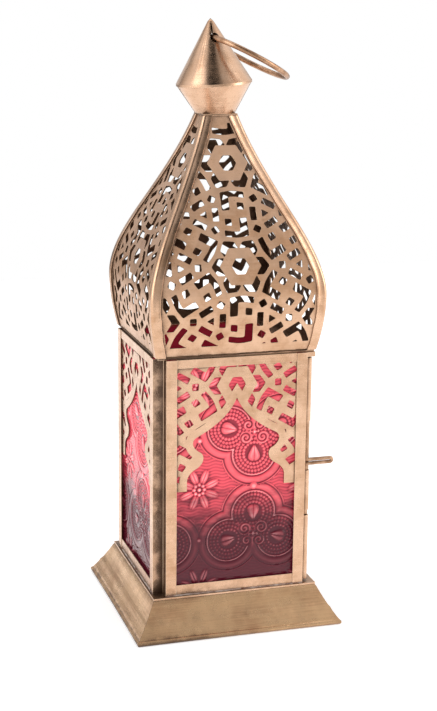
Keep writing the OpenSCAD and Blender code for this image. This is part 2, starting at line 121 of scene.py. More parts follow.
class LanternColours(bpy.types.PropertyGroup):
    """Colours of the metals, the glass and the floor"""

    brass_light: bpy.props.FloatVectorProperty(
        name="Light brass", description="Rubbed parts of the sheet metal",
        default=(0.74, 0.48, 0.32), min=0, max=1, subtype="COLOR")
    brass_deep: bpy.props.FloatVectorProperty(
        name="Deep brass", description="Toned parts of the sheet metal",
        default=(0.50, 0.275, 0.145), min=0, max=1, subtype="COLOR")
    # The patina colour also darkens the brass corners and hollows, where it is painted shade as well as
    # lacquer.
    patina: bpy.props.FloatVectorProperty(
        name="Patina", description="Brown lacquer left in the hollows",
        default=(0.16, 0.075, 0.035), min=0, max=1, subtype="COLOR")
    worn: bpy.props.FloatVectorProperty(
        name="Worn edge", description="Bare metal along the edges",
        default=(0.84, 0.62, 0.43), min=0, max=1, subtype="COLOR")
    wire: bpy.props.FloatVectorProperty(
        name="Wire", description="Darker metal of the ring and the bolt",
        default=(0.34, 0.19, 0.11), min=0, max=1, subtype="COLOR")
    glass: bpy.props.FloatVectorProperty(
        name="Glass", description="Body colour of the red glass",
        default=(0.92, 0.10, 0.16), min=0, max=1, subtype="COLOR")
    floor: bpy.props.FloatVectorProperty(
        name="Floor", description="Pale floor under the lantern",
        default=(0.9, 0.9, 0.9), min=0, max=1, subtype="COLOR")


# ---------------------------------------------------------------- node graphs

class Socket:
    """An output socket; sums on it add Math nodes to its graph."""

    def __init__(self, graph, socket):
        self.graph = graph
        self.socket = socket

    def math(self, operation, *values):
        """A Math node on the values."""
        return self.graph.node("ShaderNodeMath", {"operation": operation}, dict(enumerate(values)))

    def __add__(self, other):
        return self.math("ADD", self, other)

    def __sub__(self, other):
        return self.math("SUBTRACT", self, other)

    def __rsub__(self, other):
        return self.math("SUBTRACT", other, self)

    def __mul__(self, other):
        return self.math("MULTIPLY", self, other)

    def __truediv__(self, other):
        return self.math("DIVIDE", self, other)

    __radd__ = __add__
    __rmul__ = __mul__

    def step(self, low, high):
        """0 below low and 1 above high, with a smooth way between."""
        return self.graph.node(
            "ShaderNodeMapRange", {"interpolation_type": "SMOOTHSTEP"},
            {"Value": self, "From Min": low, "From Max": high})


class Graph:
    """A node tree that is filled by expressions."""

    def __init__(self, tree):
        self.tree = tree

    def put(self, socket, value):
        """Links a Socket, or each Socket of a list, and sets anything else as the default."""
        for one in value if isinstance(value, list) else [value]:
            if isinstance(one, Socket):
                self.tree.links.new(one.socket, socket)
            elif socket.type == "RGBA":
                socket.default_value = (*tuple(one)[:3], 1.0)
            else:
                socket.default_value = one

    def node(self, kind, settings=None, inputs=None, output=0):
        """Any node: its settings are set first, then its inputs by name or index."""
        made = self.tree.nodes.new(kind)
        for name, value in (settings or {}).items():
            if name == "stops":
                ramp = made.color_ramp.elements
                while len(ramp) < len(value):
                    ramp.new(0.5)
                for stop, (position, colour) in zip(ramp, value):
                    stop.position = position
                    stop.color = (*tuple(colour)[:3], 1.0)
            else:
                setattr(made, name, value)
        for name, value in (inputs or {}).items():
            self.put(made.inputs[name], value)
        return Socket(self, made.outputs[output])

    def mix(self, factor, a, b):
        """A colour between a and b."""
        return self.node("ShaderNodeMix", {"data_type": "RGBA"}, {0: factor, 6: a, 7: b}, 2)

    def place(self, stretch=(1, 1, 1)):
        """Object coordinates in millimetres, stretched along each axis."""
        at = self.node("ShaderNodeTexCoord", output="Object")
        return self.node("ShaderNodeVectorMath", {"operation": "MULTIPLY"},
                         {0: at, 1: tuple(1000 * s for s in stretch)})

    def noise(self, scale, detail=2.0, roughness=0.5, stretch=(1, 1, 1)):
        """Noise whose scale is in cycles per millimetre."""
        return self.node("ShaderNodeTexNoise", None, {
            "Vector": self.place(stretch), "Scale": scale, "Detail": detail, "Roughness": roughness})

    def hollow(self, reach):
        """0 on open faces, up to 1 in corners and behind other pieces, within the reach."""
        return 1 - self.node("ShaderNodeAmbientOcclusion", {"samples": 6}, {"Distance": reach}, "AO")

    def bump(self, height, distance, strength, under=None):
        """A bump of the given height, laid over the one under it."""
        inputs = {"Height": height, "Distance": distance, "Strength": strength}
        if under:
            inputs["Normal"] = under
        return self.node("ShaderNodeBump", None, inputs)


def new_tree(name, output, inputs):
    """A Geometry Nodes tree with named inputs and one output: its graph and its inputs by name."""
    tree = bpy.data.node_groups.new(name, "GeometryNodeTree")
    for label, kind in inputs:
        tree.interface.new_socket(label, in_out="INPUT", socket_type="NodeSocket" + kind)
    tree.interface.new_socket(output, in_out="OUTPUT", socket_type="NodeSocketGeometry")
    g = Graph(tree)
    return g, {s.name: Socket(g, s) for s in tree.nodes.new("NodeGroupInput").outputs if s.name}


def end_tree(g, shape, metal):
    """Ends a tree in Realize Instances and Set Material, and returns it."""
    shape = g.node("GeometryNodeRealizeInstances", None, {0: shape})
    shape = g.node("GeometryNodeSetMaterial", None, {"Geometry": shape, "Material": metal})
    g.put(g.tree.nodes.new("NodeGroupOutput").inputs[0], shape)
    return g.tree


def new_material(name):
    """A named material, its graph and its shader's inputs, empty but for the shader."""
    material = bpy.data.materials.new(name)
    material.use_nodes = True
    graph = Graph(material.node_tree)
    return material, graph, material.node_tree.nodes["Principled BSDF"].inputs


def brass(name, light, deep, patina, polish=0.22, toned=0.38, brushed=0.5, lines=0.35):
    """Satin brass sheet: blotched tone, level brushing, brown specks, soft dents, and corners darkened by
    tarnish and by painted shade, more on the side towards -x.
    """
    material, g, shader = new_material(name)
    blotch = g.noise(0.045, 4.0, 0.6).step(0.35, 0.68)
    cloud = g.noise(0.16, 5.0, 0.65).step(0.36, 0.66)
    brushing = g.noise(1.0, 4.0, 0.7, (0.045, 0.045, 2.6))
    speck = g.noise(1.3, 3.0, 0.6).step(0.60, 0.74)
    grain = g.noise(7.0, 2.0, 0.5)
    tone = toned * blotch + (1 - toned) * 0.35 * cloud + lines * (brushing - 0.5)
    # Painted shade with tarnish: the side towards -x gets darker corners than the other side.
    shaded = (0 - g.node("ShaderNodeSeparateXYZ", None, {0: g.place()}, "X")).step(-20.0, 30.0)
    # Occlusion marks corners, creases and parts behind others; the darkening it drives is painted shade as
    # well as tarnish.
    hollow = g.hollow(7 * MM) + 0.12 * (cloud - 0.5)
    corner = (hollow * (0.8 + 1.1 * shaded)).step(0.10, 0.42) * (0.55 + 0.45 * shaded)
    colour = g.mix(tone.step(0.05, 0.85), light, deep)
    colour = g.mix(0.42 * speck * cloud, colour, patina)
    colour = g.mix(0.14 * grain, colour, patina)
    # Corners go towards a dark patina colour: painted shade together with tarnish.
    g.put(shader["Base Color"], g.mix(0.92 * corner, colour, tuple(0.35 * c for c in patina)))
    g.put(shader["Metallic"], 1 - 0.35 * corner)
    rough = polish + 0.10 * cloud + 0.16 * speck + 0.16 * (brushing - 0.5) + 0.05 * grain
    g.put(shader["Roughness"], rough + 0.18 * corner)
    shader["Coat Weight"].default_value = 0.22
    shader["Coat Roughness"].default_value = 0.22
    dents = g.bump(g.noise(0.07, 2.0, 0.5), 0.9 * MM, 0.55)
    strokes = g.bump(brushing, 0.03 * MM, brushed, dents)
    g.put(shader["Normal"], g.bump(grain, 0.012 * MM, 0.6, strokes))
    return material


def inner_metal(name, deep, patina):
    """The unpolished inside: brown, sooty and dull, and kept much darker than the outside brass as painted
    shade for the unlit inside.
    """
    material, g, shader = new_material(name)
    soot = g.noise(0.12, 4.0, 0.6).step(0.30, 0.70)
    colour = g.mix(soot, tuple(0.34 * c for c in deep), tuple(0.38 * c for c in patina))
    g.put(shader["Base Color"], colour)
    shader["Metallic"].default_value = 0.55
    g.put(shader["Roughness"], 0.42 + 0.25 * soot)
    g.put(shader["Normal"], g.bump(g.noise(1.1, 3.0), 0.05 * MM, 0.5))
    return material


def worn_metal(name, colour, deep):
    """Bare metal along rims and folds."""
    material, g, shader = new_material(name)
    rub = g.noise(0.35, 3.0, 0.6).step(0.3, 0.7)
    g.put(shader["Base Color"], g.mix(0.55 * rub, colour, deep))
    shader["Metallic"].default_value = 1.0
    g.put(shader["Roughness"], 0.26 + 0.14 * rub)
    return material


def wire_metal(name, wire, light, patina):
    """Drawn wire with a brown lacquer, rubbed in places."""
    material, g, shader = new_material(name)
    rub = g.noise(0.18, 4.0, 0.65).step(0.42, 0.70)
    pits = g.noise(2.2, 3.0, 0.6).step(0.55, 0.72)
    colour = g.mix(0.65 * rub, wire, light)
    g.put(shader["Base Color"], g.mix(0.5 * pits, colour, patina))
    shader["Metallic"].default_value = 1.0
    g.put(shader["Roughness"], 0.30 + 0.16 * pits + 0.08 * rub)
    g.put(shader["Normal"], g.bump(pits, 0.03 * MM, 0.5))
    return material


def solder_metal(name):
    """Grey solder with a brown flux stain."""
    material, g, shader = new_material(name)
    stain = g.noise(0.22, 4.0, 0.7).step(0.36, 0.66)
    g.put(shader["Base Color"], g.mix(stain, (0.62, 0.52, 0.46), (0.20, 0.08, 0.05)))
    shader["Metallic"].default_value = 0.85
    g.put(shader["Roughness"], 0.38 + 0.2 * stain)
    g.put(shader["Normal"], g.bump(g.noise(1.5, 3.0), 0.1 * MM, 0.6))
    return material


def red_glass(name, colour):
    """Pressed red glass with faint streaks: painted shade in the pattern's grooves and on the lower panes, a
    pale painted highlight on its ridges, and a faint painted glow.
    """
    material, g, shader = new_material(name)
    streak = g.noise(0.10, 3.0, 0.55, (1, 1, 2.5)).step(0.3, 0.75)
    seeds = g.noise(1.6, 2.0, 0.5).step(0.62, 0.75)
    crest = g.node("ShaderNodeAttribute", {"attribute_name": "crest"}, None, "Fac")
    r, green, b = colour
    # The ramp paints light onto the relief: dark painted shade in the grooves, a pale painted highlight on
    # the ridges.
    stops = [(0.0, (0.10 * r, 0.03 * green, 0.06 * b)), (0.26, (0.34 * r, 0.20 * green, 0.26 * b)),
             (0.46, (0.95 * r, 0.9 * green, 0.8 * b)), (0.74, (min(1.1 * r, 1), 1.7 * green, 1.25 * b)),
             (1.0, (min(1.2 * r, 1), 6.0 * green, 3.8 * b))]
    relief = g.node("ShaderNodeValToRGB", {"stops": stops}, {"Fac": crest})
    at = g.node("ShaderNodeSeparateXYZ", None, {0: g.place()}, "Z")
    # Painted shade: under that level the glass goes dark, with a ragged edge, a little less on the ridges of
    # the pattern.
    fade, ragged = 27.0, 11
    foot = (GLASS_SHADE_Z / MM - at + ragged * (streak - 0.5)) / fade
    colour_here = g.mix(0.25 * streak, relief, tuple(0.5 * c for c in colour))
    dark = (0.070 * r, 0.06 * green, 0.09 * b)
    sunk = 0.96 * foot.step(0.0, 1.0) * (1 - 0.32 * crest.step(0.60, 0.95))
    tint_and_painted_light = g.mix(sunk, colour_here, dark)
    g.put(shader["Base Color"], tint_and_painted_light)
    # The same colour is emitted: a faint painted glow in the glass.
    g.put(shader["Emission Color"], tint_and_painted_light)
    shader["Emission Strength"].default_value = 0.30
    g.put(shader["Roughness"], 0.08 + 0.05 * streak + 0.1 * seeds)
    shader["Transmission Weight"].default_value = 0.25
    shader["IOR"].default_value = 1.5
    shader["Specular IOR Level"].default_value = 0.22
    shader["Coat Weight"].default_value = 0.08
    shader["Coat Roughness"].default_value = 0.06
    g.put(shader["Normal"], g.bump(seeds, 0.05 * MM, 0.35))
    return material


def plain_floor(name, colour):
    """Pale even floor, painted dark as shade only where it is seen through glass."""
    material, g, shader = new_material(name)
    fleck = g.noise(0.02, 4.0, 0.6)
    through = g.node("ShaderNodeLightPath", None, None, "Is Transmission Ray")
    open_floor = g.mix(0.04 * fleck, colour, (0.75, 0.75, 0.74))
    g.put(shader["Base Color"], g.mix(through, open_floor, (0.05, 0.04, 0.04)))
    shader["Roughness"].default_value = 0.8
    shader["Specular IOR Level"].default_value = 0.1
    g.put(shader["Emission Color"], g.mix(through, (1, 1, 1), (0, 0, 0)))
    shader["Emission Strength"].default_value = 0.42
    return material


def finishes(context):
    """The lantern's materials by name, made once."""
    c = context.scene.lantern_colours
    light, deep, patina = tuple(c.brass_light), tuple(c.brass_deep), tuple(c.patina)
    # The skirts' yellower brass is brushed brass, and also a painted reflection of the dark floor on their
    # slopes.
    yellow = (light[0], 0.98 * light[1], 0.80 * light[2])
    makers = {
        "brass_sheet": lambda n: brass(n, light, deep, patina),
        "brass_petal": lambda n: brass(n, light, deep, patina, polish=0.36, toned=0.45, brushed=0.25),
        "brass_finial": lambda n: brass(n, light, deep, patina, polish=0.15, toned=0.25, brushed=1.0),
        "brass_skirt": lambda n: brass(n, yellow, deep, patina, polish=0.24, toned=0.35, brushed=1.6,
                                       lines=1.5),
        "brass_inner": lambda n: inner_metal(n, deep, patina),
        "worn_edge": lambda n: worn_metal(n, tuple(c.worn), light),
        "ring_wire": lambda n: wire_metal(n, tuple(c.wire), light, patina),
        "solder": solder_metal,
        "red_glass": lambda n: red_glass(n, tuple(c.glass)),
        "floor": lambda n: plain_floor(n, tuple(c.floor)),
    }
    return {n: bpy.data.materials.get("lantern_" + n) or make("lantern_" + n) for n, make in makers.items()}


# ---------------------------------------------------------------- mesh helpers

def new_object(name, mesh, *materials):
    """Links a new object that holds the mesh, with its materials."""
    made = bpy.data.objects.new(name, mesh)
    bpy.context.scene.collection.objects.link(made)
    for material in materials:
        mesh.materials.append(material)
    return made


def to_mesh(bm, name, sharp=30.0):
    """Turns a bmesh into a smooth mesh whose edges above the angle stay sharp."""
    mesh = bpy.data.meshes.new(name)
    bm.to_mesh(mesh)
    bm.free()
    mesh.shade_smooth()
    mesh.set_sharp_from_angle(angle=math.radians(sharp))
    return mesh


def applied(piece):
    """Gives the object the mesh that its modifiers make, and removes them."""
    evaluated = piece.evaluated_get(bpy.context.evaluated_depsgraph_get())
    mesh = bpy.data.meshes.new_from_object(evaluated)
    piece.modifiers.clear()
    old, piece.data = piece.data, mesh
    bpy.data.meshes.remove(old)
    mesh.name = piece.name
    return piece


def stands_for(piece, body, slot, *nodes):
    """Makes the piece ride on its body, in place of its CAD nodes."""
    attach(piece, body)
    if nodes:
        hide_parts(*nodes)


def quarter(k):
    """Turns the front face to face k: 0 front, 1 right, 2 back, 3 left."""
    return Matrix.Rotation(math.radians(90 * k), 4, "Z")


def face_place(low, high, k):
    """Half width of a flat node on face k, and how far out its outer side lies."""
    return (high.x if k % 2 == 0 else high.y), (-low.y, high.x, high.y, -low.x)[k]


def refined(node, material, edge):
    """A copy of a CAD node with merged faces and worn, rounded edges."""
    sharp = 35.0
    bm = bmesh.new()
    bm.from_mesh(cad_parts[node].data)
    bmesh.ops.remove_doubles(bm, verts=bm.verts, dist=1e-6)
    bmesh.ops.dissolve_limit(bm, angle_limit=math.radians(0.4), verts=bm.verts, edges=bm.edges)
    piece = new_object("brass_" + node, to_mesh(bm, node, sharp), material, edge)
    bevel = piece.modifiers.new("Rounded edges", "BEVEL")
    bevel.width = EDGE_WEAR
    bevel.segments = 2
    bevel.limit_method = "ANGLE"
    bevel.angle_limit = math.radians(sharp)
    bevel.material = 1
    bevel.harden_normals = True
    return applied(piece)


def carry_over(kinds, nodes, body, slot, metal, edge="worn_edge"):
    """Refined copies of CAD nodes, each in the place of its node."""
    for node in nodes:
        stands_for(refined(node, kinds[metal], kinds[edge]), body, slot, node)


def cubic(p, t):
    """The point at t, from 0 to 1, on a cubic curve with four corners."""
    return (1 - t) ** 3 * p[0] + 3 * (1 - t) ** 2 * t * p[1] + 3 * (1 - t) * t * t * p[2] + t ** 3 * p[3]


def chain(curves, steps):
    """Points along cubic curves that follow each other."""
    points = [np.array(curves[0][0], float)]
    for curve in curves:
        corners = [np.array(p, float) for p in curve]
        points += [cubic(corners, i / steps) for i in range(1, steps + 1)]
    return np.array(points)


def add_prism(bm, outline, low, high):
    """A closed prism over a flat outline."""
    bottom = [bm.verts.new((x, y, low)) for x, y in outline]
    top = [bm.verts.new((x, y, high)) for x, y in outline]
    bm.faces.new(bottom[::-1])
    bm.faces.new(top)
    for i in range(len(outline)):
        j = (i + 1) % len(outline)
        bm.faces.new((bottom[i], bottom[j], top[j], top[i]))


def anticlockwise(outline):
    """The outline, turned round where it runs clockwise."""
    area = sum(outline[i - 1][0] * p[1] - p[0] * outline[i - 1][1] for i, p in enumerate(outline))
    return outline if area > 0 else outline[::-1]


def prism_object(name, outlines, low, high):
    """An object with a closed prism over each outline."""
    bm = bmesh.new()
    for outline in outlines:
        add_prism(bm, anticlockwise(list(outline)), low, high)
    mesh = bpy.data.meshes.new(name)
    bm.to_mesh(mesh)
    bm.free()
    return new_object(name, mesh)


def skinned(sections):
    """A closed skin, as a bmesh, over sections that follow each other."""
    bm = bmesh.new()
    rings = [[bm.verts.new(p) for p in section] for section in sections]
    for low, high in zip(rings, rings[1:]):
        for i in range(len(low)):
            j = (i + 1) % len(low)
            bm.faces.new((low[i], low[j], high[j], high[i]))
    bm.faces.new(rings[0])
    bm.faces.new(rings[-1])
    bmesh.ops.recalc_face_normals(bm, faces=bm.faces)
    return bm


# ---------------------------------------------------------------- pierced sheets

def rounded(corners, radius):
    """An outline whose corners are short curves."""
    points = [Vector(p) for p in corners]
    outline = []
    for i, p in enumerate(points):
        back, on = points[i - 1] - p, points[(i + 1) % len(points)] - p
        start = p + back.normalized() * min(radius, 0.4 * back.length)
        end = p + on.normalized() * min(radius, 0.4 * on.length)
        outline += [start, (start + 2 * p + end) / 4, end]
    return outline


def moved(outline, angle, x=0.0, y=0.0):
    """The outline turned by an angle in degrees, then shifted."""
    turn = Matrix.Rotation(math.radians(angle), 2)
    return [turn @ p + Vector((x, y)) for p in outline]


def arced(points, pitch):
    """Bends the straight bars of the pattern into arcs that bow towards the nearest rosette."""
    step, fullest, band = 1.3 * MM, 0.34, 0.17
    centres = [Vector((0, 0))]
    centres += [Vector((math.cos(a), math.sin(a))) * pitch for a in np.radians(np.arange(30, 390, 60))]
    bent = []
    for a, b in zip(points, points[1:] + points[:1]):
        parts = max(1, round((b - a).length / step))
        for i in range(parts):
            p = a.lerp(b, i / parts)
            shift = Vector((0, 0))
            for centre in centres:
                out = p - centre
                share = max(0.0, 1 - ((out.length / pitch - fullest) / band) ** 2)
                shift += out * (ARC_BEND * share * math.cos(6 * math.atan2(out.y, out.x)))
            bent.append(p + shift)
    return bent


def rosette_holes(pitch, corner):
    """One rosette's share of the pattern: hexagon, chevrons, ells and triangles."""
    slot, square = 0.062 * pitch, 0.033 * pitch
    ell = [(-0.221, -0.114), (-0.034, -0.114), (-0.034, -0.038), (-0.158, -0.038),
           (-0.158, 0.114), (-0.221, 0.114)]
    ell = rounded([(x * pitch, y * pitch) for x, y in ell], corner)
    block = rounded([(-square, -square), (square, -square), (square, square), (-square, square)], corner)
    apex, arm, depth = 0.272 * pitch, 0.096 * pitch, 0.074 * pitch
    rise, reach = arm * math.sin(math.radians(30)), arm * math.cos(math.radians(30))
    chevron = rounded([(apex, 0), (apex - rise, reach), (apex - rise - depth, reach), (apex - depth, 0),
                       (apex - rise - depth, -reach), (apex - rise, -reach)], corner)

    def regular(sides, radius):
        """A regular outline with one corner on the x axis."""
        ring = [math.radians(360 * i / sides) for i in range(sides)]
        return rounded([(radius * math.cos(a), radius * math.sin(a)) for a in ring], corner)

    bar = rounded([(-slot / 2, -0.072 * pitch), (slot / 2, -0.072 * pitch),
                   (slot / 2, 0.072 * pitch), (-slot / 2, 0.072 * pitch)], corner)
    triangle = [regular(3, 0.046 * pitch)]
    for k in range(3):
        triangle += [moved(moved(bar, 0, -0.108 * pitch), 120 * k),
                     moved(moved(block, 0, 0.184 * pitch), 120 * k)]
    holes = [regular(6, 0.086 * pitch)]
    holes += [moved(chevron, 60 * k) for k in range(6)]
    for k in range(3):
        a = 30 + 60 * k
        x, y = 0.5 * pitch * math.cos(math.radians(a)), 0.5 * pitch * math.sin(math.radians(a))
        for side in (0, 180):
            holes += [moved(ell, a + side, x, y),
                      moved(moved(block, 0, -0.072 * pitch, 0.069 * pitch), a + side, x, y)]
    for k in range(2):
        reach = pitch / math.sqrt(3)
        x, y = reach * math.cos(math.radians(60 * k)), reach * math.sin(math.radians(60 * k))
        holes += [moved(h, 60 * (1 - k), x, y) for h in triangle]
    return [arced(h, pitch) for h in holes]


def piercing_tree():
    """Rosettes on a triangular lattice, kept inside an area and cut out of a flat sheet."""
    g, given = new_tree("Pierced sheet", "Sheet", (
        ("Sheet", "Geometry"), ("Rosette", "Object"), ("Area", "Object"), ("Pitch", "Float"),
        ("Centre X", "Float"), ("Centre Y", "Float"), ("Columns", "Int"), ("Rows", "Int"),
        ("Metal", "Material")))
    pitch = given["Pitch"]
    across, up = pitch * math.cos(math.radians(30)), pitch * 0.5

    def vector(x, y):
        return g.node("ShaderNodeCombineXYZ", None, {0: x, 1: y})

    left = (given["Columns"] - 1) / 2.0
    start = vector(given["Centre X"] - left * across, given["Centre Y"] - left * up - pitch)
    columns = g.node("GeometryNodeMeshLine", None,
                     {"Count": given["Columns"], "Start Location": start, "Offset": vector(across, up)})
    rows = g.node("GeometryNodeMeshLine", None, {"Count": given["Rows"], "Offset": vector(0.0, pitch)})
    points = g.node("GeometryNodeInstanceOnPoints", None, {"Points": columns, "Instance": rows})
    points = g.node("GeometryNodeRealizeInstances", None, {0: points})
    rosette = g.node("GeometryNodeObjectInfo", None, {"Object": given["Rosette"]}, "Geometry")
    holes = g.node("GeometryNodeInstanceOnPoints", None, {"Points": points, "Instance": rosette})
    holes = g.node("GeometryNodeRealizeInstances", None, {0: holes})
    area = g.node("GeometryNodeObjectInfo", None, {"Object": given["Area"]}, "Geometry")
    holes = g.node("GeometryNodeMeshBoolean", {"operation": "INTERSECT", "solver": "EXACT"},
                   {1: [holes, area]})
    cut = g.node("GeometryNodeMeshBoolean", {"operation": "DIFFERENCE", "solver": "EXACT"},
                 {0: given["Sheet"], 1: holes})
    return end_tree(g, cut, given["Metal"])


def grown(piece, tree, values):
    """Runs a node tree on an object and keeps the plain mesh."""
    modifier = piece.modifiers.new(tree.name, "NODES")
    modifier.node_group = tree
    for item in tree.interface.items_tree:
        if item.in_out == "INPUT" and item.name in values:
            modifier[item.identifier] = values[item.name]
    applied(piece)


def pierce(name, outline, area, centre, sizes, columns, rows, mirrored, levels):
    """A flat pierced sheet as a bmesh, cut at levels: x across, y up, z outwards from the outer face at 0."""
    worn, inner = 1, 2
    kit = rosette_holes(sizes.pitch, sizes.corner)
    if mirrored:
        kit = [[Vector((-p.x, p.y)) for p in h] for h in kit]
    tools = [prism_object("rosette", kit, -3 * MM, 3 * MM), prism_object("area", [area], -2 * MM, 2 * MM)]
    sheet = prism_object(name, [outline], -sizes.sheet, 0.0)
    tree = bpy.data.node_groups.get("Pierced sheet") or piercing_tree()
    values = {"Rosette": tools[0], "Area": tools[1], "Pitch": sizes.pitch, "Centre X": centre[0],
              "Centre Y": centre[1], "Columns": columns, "Rows": rows}
    grown(sheet, tree, values)
    bm = bmesh.new()
    bm.from_mesh(sheet.data)
    for thing in tools + [sheet]:
        mesh = thing.data
        bpy.data.objects.remove(thing)
        bpy.data.meshes.remove(mesh)
    bmesh.ops.remove_doubles(bm, verts=bm.verts, dist=1e-6)
    bmesh.ops.dissolve_limit(bm, angle_limit=math.radians(1), verts=bm.verts, edges=bm.edges)
    sliced(bm, levels)
    bmesh.ops.dissolve_degenerate(bm, dist=0.02 * MM, edges=bm.edges)
    rims = [e for e in bm.edges if len(e.link_faces) == 2 and e.calc_face_angle(0) > 1
            and all(abs(v.co.z) < 1e-6 for v in e.verts)]
    # Inner faces and hole walls take the dark inner metal: tarnish, and painted shade for the unlit inside.
    for f in bm.faces:
        f.material_index = inner if f.calc_center_median().z < -0.25 * sizes.sheet else 0
    bmesh.ops.bevel(bm, geom=rims, offset=sizes.rim_wear, segments=1, affect="EDGES", material=worn,
                    clamp_overlap=True)
    bmesh.ops.triangulate(bm, faces=[f for f in bm.faces if len(f.verts) > 4], ngon_method="EAR_CLIP")
    return bm


def sliced(bm, levels):
    """Cuts the sheet along level lines so that it can bend."""
    for y in levels:
        bmesh.ops.bisect_plane(bm, geom=bm.verts[:] + bm.edges[:] + bm.faces[:], dist=1e-7,
                               plane_co=(0, y, 0), plane_no=(0, 1, 0))


# ---------------------------------------------------------------- dome

def dome_curve(steps=24):
    """The dome's profile: half width and height above its foot."""
    h, foot, belly, crown = DOME_H, DOME_FOOT, DOME_BELLY, DOME_CROWN
    shoulder = (belly - crown) * 0.605 + crown
    return chain([
        [(foot, 0), (foot + 1.2 * MM, 0.06 * h), (belly, 0.14 * h), (belly, 0.245 * h)],
        [(belly, 0.245 * h), (belly, 0.357 * h), (shoulder + 5.4 * MM, 0.486 * h), (shoulder, 0.593 * h)],
        [(shoulder, 0.593 * h), (shoulder - 6 * MM, 0.712 * h), (crown + 4.6 * MM, 0.853 * h), (crown, h)],
    ], steps)


class DomeBend:
    """Bends a flat petal along the dome's profile by its length from the foot."""

    def __init__(self):
        self.points = dome_curve()
        steps = np.linalg.norm(np.diff(self.points, axis=0), axis=1)
        self.s = np.concatenate([[0], np.cumsum(steps)])
        self.length = self.s[-1]
        tangent = np.gradient(self.points, self.s, axis=0)
        tangent /= np.linalg.norm(tangent, axis=1)[:, None]
        self.normal = np.stack([tangent[:, 1], -tangent[:, 0]], axis=1)

    def half(self, s):
        """Half width of the petal at a length from its foot."""
        return float(np.interp(s, self.s, self.points[:, 0]))

    def __call__(self, co):
        """The place on the dome of a point of the flat petal."""
        s = min(max(co.y, 0.0), self.length)
        out = [float(np.interp(s, self.s, self.points[:, i]) + co.z * np.interp(s, self.s, self.normal[:, i]))
               for i in (0, 1)]
        return Vector((co.x, -out[0], DOME_Z + out[1]))


def build_petals(context):
    """Pierces one petal flat, bends it along the dome and sets a copy on each face."""
    sizes = context.scene.lantern_sizes
    kinds = finishes(context)
    bend = DomeBend()
    levels = np.linspace(0, bend.length, 47)
    gap = 0.35 * MM
    side = [(bend.half(s) - gap, s) for s in levels]
    outline = side + [(-x, s) for x, s in side[::-1]]
    low, high = 4 * MM, bend.length - 3 * MM
    edge = [(bend.half(s) - sizes.dome_margin, s) for s in np.linspace(low, high, 40)]
    edge = [(x, s) for x, s in edge if x > 0.4 * MM]
    area = edge + [(-x, s) for x, s in edge[::-1]]
    centre = (PETAL_ROSETTE_X, PETAL_ROSETTE_SHARE * bend.length)
    bm = pierce("petal", outline, area, centre, sizes, 3, 4, False, levels[1:-1])
    for v in bm.verts:
        v.co = bend(v.co)
    petal = to_mesh(bm, "petal", 32.0)
    for k, face in enumerate(FACES):
        mesh = petal.copy()
        mesh.transform(quarter(k))
        piece = new_object("pierced_petal_" + face, mesh, kinds["brass_petal"], kinds["worn_edge"],
                           kinds["brass_inner"])
        stands_for(piece, "body", "brass_sheet", "dome_" + face)
    bpy.data.meshes.remove(petal)


def rib_section(width, thick):
    """Level section of a rib round the corner at the origin: x along one petal, y along the other."""
    fold = 1.5 * MM
    arc = [math.radians(a) for a in np.linspace(270, 180, 9)]
    bend = [(fold - thick + fold * math.cos(a), fold - thick + fold * math.sin(a)) for a in arc]
    lip = 0.22 * MM
    outer = [(width, -0.1 * thick), (width, -thick + lip), (width - lip, -thick), (width - 0.6 * MM, -thick),
             (width - 0.8 * MM, -0.82 * thick)]
    sunk = 0.3 * thick
    inner = [(width, sunk), (0.4 * MM, sunk), (sunk, sunk), (sunk, 0.4 * MM), (sunk, width)]
    return outer + bend + [(y, x) for x, y in outer[::-1]] + inner[::-1]


def build_ribs(context):
    """A folded rib up each corner of the dome, its flanges slightly uneven."""
    sizes = context.scene.lantern_sizes
    kinds = finishes(context)
    curve = dome_curve(20)
    for k, corner in enumerate(CORNERS):
        sections = []
        for i, (half, up) in enumerate(curve):
            wave = 0.10 * MM * (math.sin(i * 0.61 + 2 * k) + 0.6 * math.sin(i * 1.37 + k))
            section = rib_section(sizes.rib_width + wave, 0.8 * MM)
            sections.append([(x - half, y - half, DOME_Z + up) for x, y in section])
        bm = skinned(sections)
        bm.transform(quarter(k))
        piece = new_object("folded_rib_" + corner, to_mesh(bm, "rib", 40.0), kinds["brass_sheet"])
        stands_for(piece, "body", "brass_sheet", "rib_" + corner)


# ---------------------------------------------------------------- screens

def arch_curve(tip, foot, half):
    """Right half of the arch, from its tip down to its foot."""
    shares = [
        [(0, 0), (0.124, 0.169), (0.405, 0.3), (0.81, 0.411)],
        [(0.81, 0.411), (0.933, 0.445), (0.9, 0.536), (0.724, 0.583)],
        [(0.724, 0.583), (0.648, 0.61), (0.638, 0.698), (0.79, 0.75)],
        [(0.79, 0.75), (0.914, 0.784), (0.986, 0.823), (1, 0.885)],
    ]
    return chain([[(x * half, tip - y * (tip - foot)) for x, y in curve] for curve in shares], 9)


def beside(curve, gap, foot):
    """The curve moved outwards by a gap, without the loops that an inward bend would make."""
    run = np.vstack([curve, [(curve[-1][0], foot + 2 * gap * t) for t in (0.5, 0)]])
    tangent = np.gradient(run, axis=0)
    tangent /= np.linalg.norm(tangent, axis=1)[:, None]
    out = run + gap * np.stack([-tangent[:, 1], tangent[:, 0]], axis=1)
    dense = np.vstack([run[:-1] + np.diff(run, axis=0) * t for t in np.linspace(0, 1, 9)])
    near = np.linalg.norm(out[:, None] - dense[None], axis=2).min(axis=1)
    return [tuple(p) for p, d in zip(out, near) if d > gap * 0.97 and p[0] > 0]


